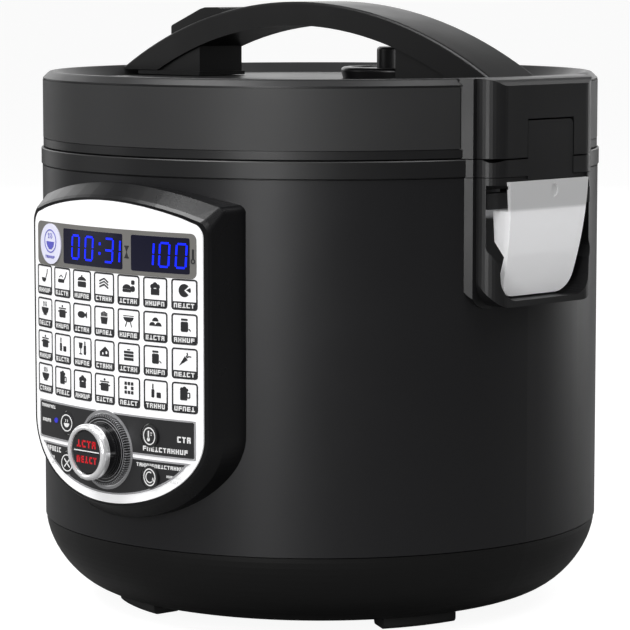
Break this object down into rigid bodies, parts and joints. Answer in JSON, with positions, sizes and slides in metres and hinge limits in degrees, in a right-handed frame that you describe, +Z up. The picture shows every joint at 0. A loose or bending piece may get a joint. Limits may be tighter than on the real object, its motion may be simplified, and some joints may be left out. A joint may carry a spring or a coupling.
{
  "type": "multicooker",
  "caption": "Round electric multicooker with a hinged lid, arched carrying handle, bowed control panel with a dial and display, and a pull-out condensate cup.",
  "frame": {"origin": "on the ground, on the axis of the round body", "axes": "+Z up, -Y the control panel's side, +X the hinge and condensate cup's side"},
  "size_m": [0.279, 0.2947, 0.2884],
  "materials": {
    "shell_paint": "satin graphite paint",
    "black_plastic": "fine satin black moulding",
    "gloss_black": "glossy black moulding",
    "band_plastic": "slightly lighter satin band",
    "foot_rubber": "matt",
    "silver_fascia": "pale silver",
    "grey_print": "grey print",
    "window": "smoked window",
    "film": "dark film",
    "badge_print": "pale disc",
    "led": "blue lens",
    "chrome": "polished",
    "cup_clear": "frosted clear",
    "pot": "dark non-stick coating",
    "bare_aluminium": "spun",
    "steel": "bright",
    "seal": "translucent silicone",
    "board": "circuit board",
    "parts_dark": "electrical parts",
    "brass": "plated"
  },
  "bodies": {
    "base": {"outer_shell": "shell_paint", "base_tray": "black_plastic", "foot_pads": "foot_rubber", "foot_caps": "foot_rubber", "collar_ring": "black_plastic", "rear_bracket": "black_plastic", "drip_rail": "black_plastic", "hinge_pin": "steel", "inner_well": "bare_aluminium", "heating_plate": "bare_aluminium", "heater_stand": "steel", "sensor_spring": "steel", "inner_pot": "pot", "panel_housing": "gloss_black", "fascia": "silver_fascia", "display_strip": "grey_print", "window_time": "window", "window_temperature": "window", "badge": "badge_print", "control_film": "film", "led_lens": "led", "display_board": "board", "digit_modules": "parts_dark", "dial_core": "gloss_black", "power_board": "board", "power_parts": "parts_dark", "inlet_socket": "black_plastic", "inlet_pins": "brass", "case_screws": "steel"},
    "sensor": {"sensor_cap": "bare_aluminium"},
    "dial": {"dial_foot": "black_plastic", "dial_skirt": "gloss_black", "dial_chrome": "chrome"},
    "menu_key": {"menu_key": "gloss_black"},
    "start_key": {"start_key": "gloss_black"},
    "warm_key": {"warm_key": "film"},
    "cancel_key": {"cancel_key": "film"},
    "temperature_key": {"temperature_key": "film"},
    "delay_key": {"delay_key": "film"},
    "lid": {"lid_shell": "black_plastic", "lid_band": "band_plastic", "lid_cover": "black_plastic", "lid_underside": "parts_dark", "inner_lid": "bare_aluminium", "inner_lid_knob": "parts_dark", "lid_gasket": "seal", "steam_tube": "steel", "valve_seat": "gloss_black", "handle_arch": "black_plastic", "handle_feet": "black_plastic", "latch_pin": "steel", "latch_spring": "steel"},
    "valve_cap": {"valve_cap": "gloss_black"},
    "release_button": {"release_button": "black_plastic"},
    "latch_hook": {"latch_hook": "steel"},
    "cup": {"condensate_cup": "cup_clear"}
  },
  "joints": [
    {"name": "lid_hinge", "type": "hinge", "parent": "base", "child": "lid", "pos_m": [0.1393, 0.006, 0.2228], "axis": [0, 1, 0], "range_deg": [0, 85]},
    {"name": "valve_lift", "type": "slide", "parent": "lid", "child": "valve_cap", "axis": [0, 0, 1], "range_m": [0, 0.02]},
    {"name": "release_press", "type": "slide", "parent": "lid", "child": "release_button", "axis": [0, 0, -1], "range_m": [0, 0.003], "stiffness_N_per_m": 1200, "springref_m": -0.001},
    {"name": "latch_turn", "type": "hinge", "parent": "lid", "child": "latch_hook", "pos_m": [-0.1185, 0, 0.236], "axis": [0, 1, 0], "range_deg": [0, 8]},
    {"name": "cup_slide", "type": "slide", "parent": "base", "child": "cup", "axis": [1, 0, 0], "range_m": [0, 0.026]},
    {"name": "sensor_plunge", "type": "slide", "parent": "base", "child": "sensor", "axis": [0, 0, -1], "range_m": [0, 0.001], "stiffness_N_per_m": 1500, "springref_m": -0.001, "deforming": ["sensor_spring"]},
    {"name": "dial_turn", "type": "hinge", "parent": "base", "child": "dial", "pos_m": [0.0075, -0.15, 0.0862], "axis": [0, -1, 0], "continuous": true},
    {"name": "menu_key_press", "type": "slide", "parent": "base", "child": "menu_key", "axis": [0, 1, 0], "range_m": [0, 0.001], "stiffness_N_per_m": 900, "springref_m": -0.0006},
    {"name": "start_key_press", "type": "slide", "parent": "base", "child": "start_key", "axis": [0, 1, 0], "range_m": [0, 0.001], "stiffness_N_per_m": 900, "springref_m": -0.0006},
    {"name": "warm_key_press", "type": "slide", "parent": "base", "child": "warm_key", "axis": [0, 1, 0], "range_m": [0, 0.0008], "stiffness_N_per_m": 900, "springref_m": -0.0006},
    {"name": "cancel_key_press", "type": "slide", "parent": "base", "child": "cancel_key", "axis": [0, 1, 0], "range_m": [0, 0.0008], "stiffness_N_per_m": 900, "springref_m": -0.0006},
    {"name": "temperature_key_press", "type": "slide", "parent": "base", "child": "temperature_key", "axis": [0, 1, 0], "range_m": [0, 0.0008], "stiffness_N_per_m": 900, "springref_m": -0.0006},
    {"name": "delay_key_press", "type": "slide", "parent": "base", "child": "delay_key", "axis": [0, 1, 0], "range_m": [0, 0.0008], "stiffness_N_per_m": 900, "springref_m": -0.0006}
  ],
  "couplings": [
    {"joint": "latch_turn", "follows": "release_press", "rad_per_m": 40.8}
  ]
}
